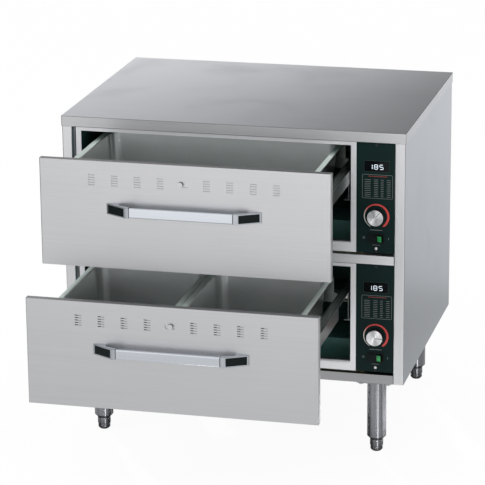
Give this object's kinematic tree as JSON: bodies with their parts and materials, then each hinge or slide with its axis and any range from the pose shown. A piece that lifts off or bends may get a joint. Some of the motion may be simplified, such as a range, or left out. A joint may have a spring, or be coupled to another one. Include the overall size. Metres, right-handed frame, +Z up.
{
  "type": "countertop warming drawer",
  "caption": "Sheet-steel warming cabinet on levelling feet, with stacked heated drawers that hold food pans, bar handles, sliding vents and controls at the right.",
  "frame": {"origin": "on the surface the feet stand on, under the centre of the cabinet's plan", "axes": "+X to the right of a person facing the drawers, +Y towards the back, +Z up"},
  "size_m": [0.752, 0.9919, 0.723],
  "materials": {
    "body_steel": "satin, fine brushed grain",
    "front_steel": "satin, fine brushed grain",
    "liner_steel": "satin",
    "slide_steel": "satin, plated",
    "pan_steel": "semi-bright",
    "insulation": "matt fibre blanket",
    "element_metal": "dark oxide",
    "panel_paint": "satin black",
    "display_window": "gloss",
    "thermostat_metal": "satin",
    "black_plastic": "satin",
    "lamp_lens": "gloss",
    "terminal_plastic": "matt",
    "wire_cover": "satin",
    "leg_steel": "satin",
    "fastener_steel": "plain",
    "handle_chrome": "bright",
    "knob_metal": "satin",
    "roller_nylon": "satin"
  },
  "bodies": {
    "cabinet": {"top_cover": "body_steel", "left_side_panel": "body_steel", "right_side_panel": "body_steel", "back_panel": "body_steel", "base_pan": "body_steel", "mid_rail": "body_steel", "upper_liner": "liner_steel", "lower_liner": "liner_steel", "upper_insulation": "insulation", "lower_insulation": "insulation", "upper_fixed_slides": "slide_steel", "lower_fixed_slides": "slide_steel", "upper_heating_element": "element_metal", "lower_heating_element": "element_metal", "upper_heat_baffle": "liner_steel", "lower_heat_baffle": "liner_steel", "upper_control_panel": "panel_paint", "lower_control_panel": "panel_paint", "upper_display": "display_window", "lower_display": "display_window", "upper_thermostat": "thermostat_metal", "lower_thermostat": "thermostat_metal", "upper_switch_housing": "black_plastic", "lower_switch_housing": "black_plastic", "pilot_lamps": "lamp_lens", "terminal_block": "terminal_plastic", "wiring_loom": "wire_cover", "cable_gland": "black_plastic", "legs": "leg_steel", "cabinet_screws": "fastener_steel"},
    "upper_drawer": {"upper_drawer_front": "front_steel", "upper_inner_front": "slide_steel", "upper_drawer_frame": "slide_steel", "upper_handle_bar": "handle_chrome", "upper_handle_ends": "handle_chrome", "upper_handle_inlays": "black_plastic", "full_pan": "pan_steel"},
    "lower_drawer": {"lower_drawer_front": "front_steel", "lower_inner_front": "slide_steel", "lower_drawer_frame": "slide_steel", "lower_handle_bar": "handle_chrome", "lower_handle_ends": "handle_chrome", "lower_handle_inlays": "black_plastic", "left_half_pan": "pan_steel", "right_half_pan": "pan_steel", "pan_adapter_bar": "pan_steel"},
    "upper_damper_plate": {"upper_damper": "slide_steel"},
    "upper_knob": {"upper_thermostat_knob": "knob_metal"},
    "upper_switch_rocker": {"upper_rocker": "black_plastic"},
    "upper_front_wheels": {"upper_front_rollers": "roller_nylon"},
    "upper_rear_wheels": {"upper_rear_rollers": "roller_nylon"},
    "lower_damper_plate": {"lower_damper": "slide_steel"},
    "lower_knob": {"lower_thermostat_knob": "knob_metal"},
    "lower_switch_rocker": {"lower_rocker": "black_plastic"},
    "lower_front_wheels": {"lower_front_rollers": "roller_nylon"},
    "lower_rear_wheels": {"lower_rear_rollers": "roller_nylon"},
    "front_left_leveller": {"front_left_foot": "leg_steel"},
    "front_right_leveller": {"front_right_foot": "leg_steel"},
    "rear_left_leveller": {"rear_left_foot": "leg_steel"},
    "rear_right_leveller": {"rear_right_foot": "leg_steel"}
  },
  "joints": [
    {"name": "upper_drawer_slide", "type": "slide", "parent": "cabinet", "child": "upper_drawer", "axis": [0, -1, 0], "range_m": [-0.237, 0.148]},
    {"name": "lower_drawer_slide", "type": "slide", "parent": "cabinet", "child": "lower_drawer", "axis": [0, -1, 0], "range_m": [-0.352, 0.033]},
    {"name": "upper_damper_slide", "type": "slide", "parent": "upper_drawer", "child": "upper_damper_plate", "axis": [1, 0, 0], "range_m": [0, 0.013]},
    {"name": "lower_damper_slide", "type": "slide", "parent": "lower_drawer", "child": "lower_damper_plate", "axis": [1, 0, 0], "range_m": [-0.0065, 0.0065]},
    {"name": "upper_knob_turn", "type": "hinge", "parent": "cabinet", "child": "upper_knob", "pos_m": [0.31317, -0.285, 0.54], "axis": [0, 1, 0], "range_deg": [-180, 105]},
    {"name": "lower_knob_turn", "type": "hinge", "parent": "cabinet", "child": "lower_knob", "pos_m": [0.31317, -0.285, 0.274], "axis": [0, 1, 0], "range_deg": [-234, 51]},
    {"name": "upper_rocker_tilt", "type": "hinge", "parent": "cabinet", "child": "upper_switch_rocker", "pos_m": [0.31317, -0.282, 0.492], "axis": [0, 0, 1], "range_deg": [0, 16]},
    {"name": "lower_rocker_tilt", "type": "hinge", "parent": "cabinet", "child": "lower_switch_rocker", "pos_m": [0.31317, -0.282, 0.226], "axis": [0, 0, 1], "range_deg": [0, 16]},
    {"name": "upper_front_wheels_spin", "type": "hinge", "parent": "cabinet", "child": "upper_front_wheels", "pos_m": [-0.03665, -0.2718, 0.6253], "axis": [1, 0, 0], "continuous": true},
    {"name": "upper_rear_wheels_spin", "type": "hinge", "parent": "upper_drawer", "child": "upper_rear_wheels", "pos_m": [-0.03665, -0.0739, 0.6225], "axis": [1, 0, 0], "continuous": true},
    {"name": "lower_front_wheels_spin", "type": "hinge", "parent": "cabinet", "child": "lower_front_wheels", "pos_m": [-0.03665, -0.2718, 0.3593], "axis": [1, 0, 0], "continuous": true},
    {"name": "lower_rear_wheels_spin", "type": "hinge", "parent": "lower_drawer", "child": "lower_rear_wheels", "pos_m": [-0.03665, -0.1889, 0.3565], "axis": [1, 0, 0], "continuous": true},
    {"name": "front_left_leveller_thread", "type": "slide", "parent": "cabinet", "child": "front_left_leveller", "axis": [0, 0, -1], "range_m": [0, 0.025]},
    {"name": "front_right_leveller_thread", "type": "slide", "parent": "cabinet", "child": "front_right_leveller", "axis": [0, 0, -1], "range_m": [0, 0.025]},
    {"name": "rear_left_leveller_thread", "type": "slide", "parent": "cabinet", "child": "rear_left_leveller", "axis": [0, 0, -1], "range_m": [0, 0.025]},
    {"name": "rear_right_leveller_thread", "type": "slide", "parent": "cabinet", "child": "rear_right_leveller", "axis": [0, 0, -1], "range_m": [0, 0.025]}
  ],
  "couplings": [
    {"joint": "upper_front_wheels_spin", "follows": "upper_drawer_slide", "rad_per_m": 100},
    {"joint": "upper_rear_wheels_spin", "follows": "upper_drawer_slide", "rad_per_m": 128.21},
    {"joint": "lower_front_wheels_spin", "follows": "lower_drawer_slide", "rad_per_m": 100},
    {"joint": "lower_rear_wheels_spin", "follows": "lower_drawer_slide", "rad_per_m": 128.21}
  ]
}
